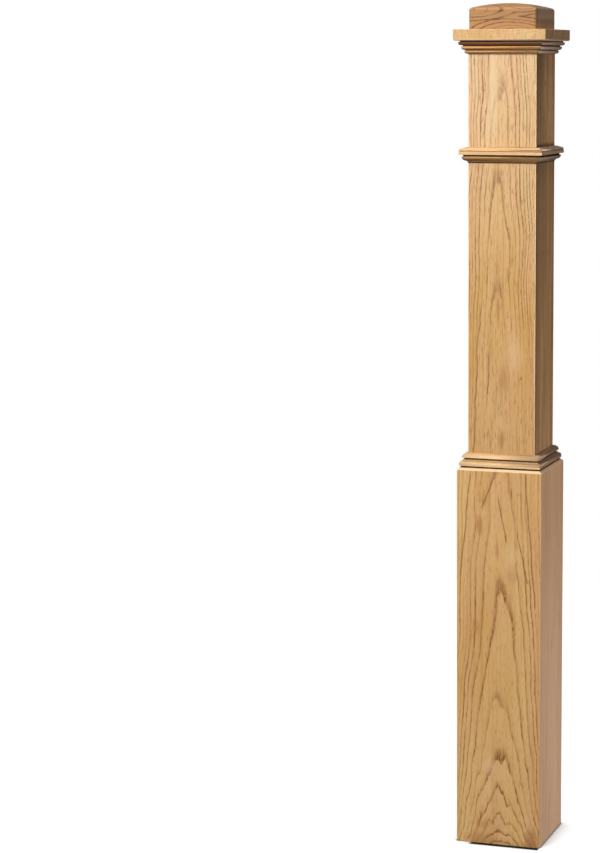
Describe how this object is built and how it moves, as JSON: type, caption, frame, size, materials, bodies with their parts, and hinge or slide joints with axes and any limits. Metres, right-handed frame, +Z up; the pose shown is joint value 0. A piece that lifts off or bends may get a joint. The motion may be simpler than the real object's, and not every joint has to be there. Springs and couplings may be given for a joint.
{
  "type": "newel post",
  "caption": "Square box newel post in oak with a wider lower box, mitred mouldings at the base, rail height and top, and a plate with a crowned block as its cap.",
  "frame": {"origin": "centre of the underside, on the floor", "axes": "+Z up along the post, -Y out of its front face, +X out of its right face"},
  "size_m": [0.171, 0.171, 1.549],
  "materials": {
    "shaft_oak": "clear satin varnish on straight-grained oak",
    "base_oak": "clear satin varnish on flat-sawn oak",
    "moulding_oak": "clear satin varnish on oak mouldings",
    "plate_oak": "clear satin varnish on oak",
    "block_oak": "clear satin varnish on oak"
  },
  "bodies": {
    "root": {"shaft_board_front": "shaft_oak", "shaft_board_right": "shaft_oak", "shaft_board_back": "shaft_oak", "shaft_board_left": "shaft_oak", "base_board_front": "base_oak", "base_board_right": "base_oak", "base_board_back": "base_oak", "base_board_left": "base_oak", "collar_moulding_front": "moulding_oak", "collar_moulding_right": "moulding_oak", "collar_moulding_back": "moulding_oak", "collar_moulding_left": "moulding_oak", "band_moulding_front": "moulding_oak", "band_moulding_right": "moulding_oak", "band_moulding_back": "moulding_oak", "band_moulding_left": "moulding_oak", "cap_moulding_front": "moulding_oak", "cap_moulding_right": "moulding_oak", "cap_moulding_back": "moulding_oak", "cap_moulding_left": "moulding_oak", "cap_plate": "plate_oak", "cap_block": "block_oak"}
  },
  "joints": []
}
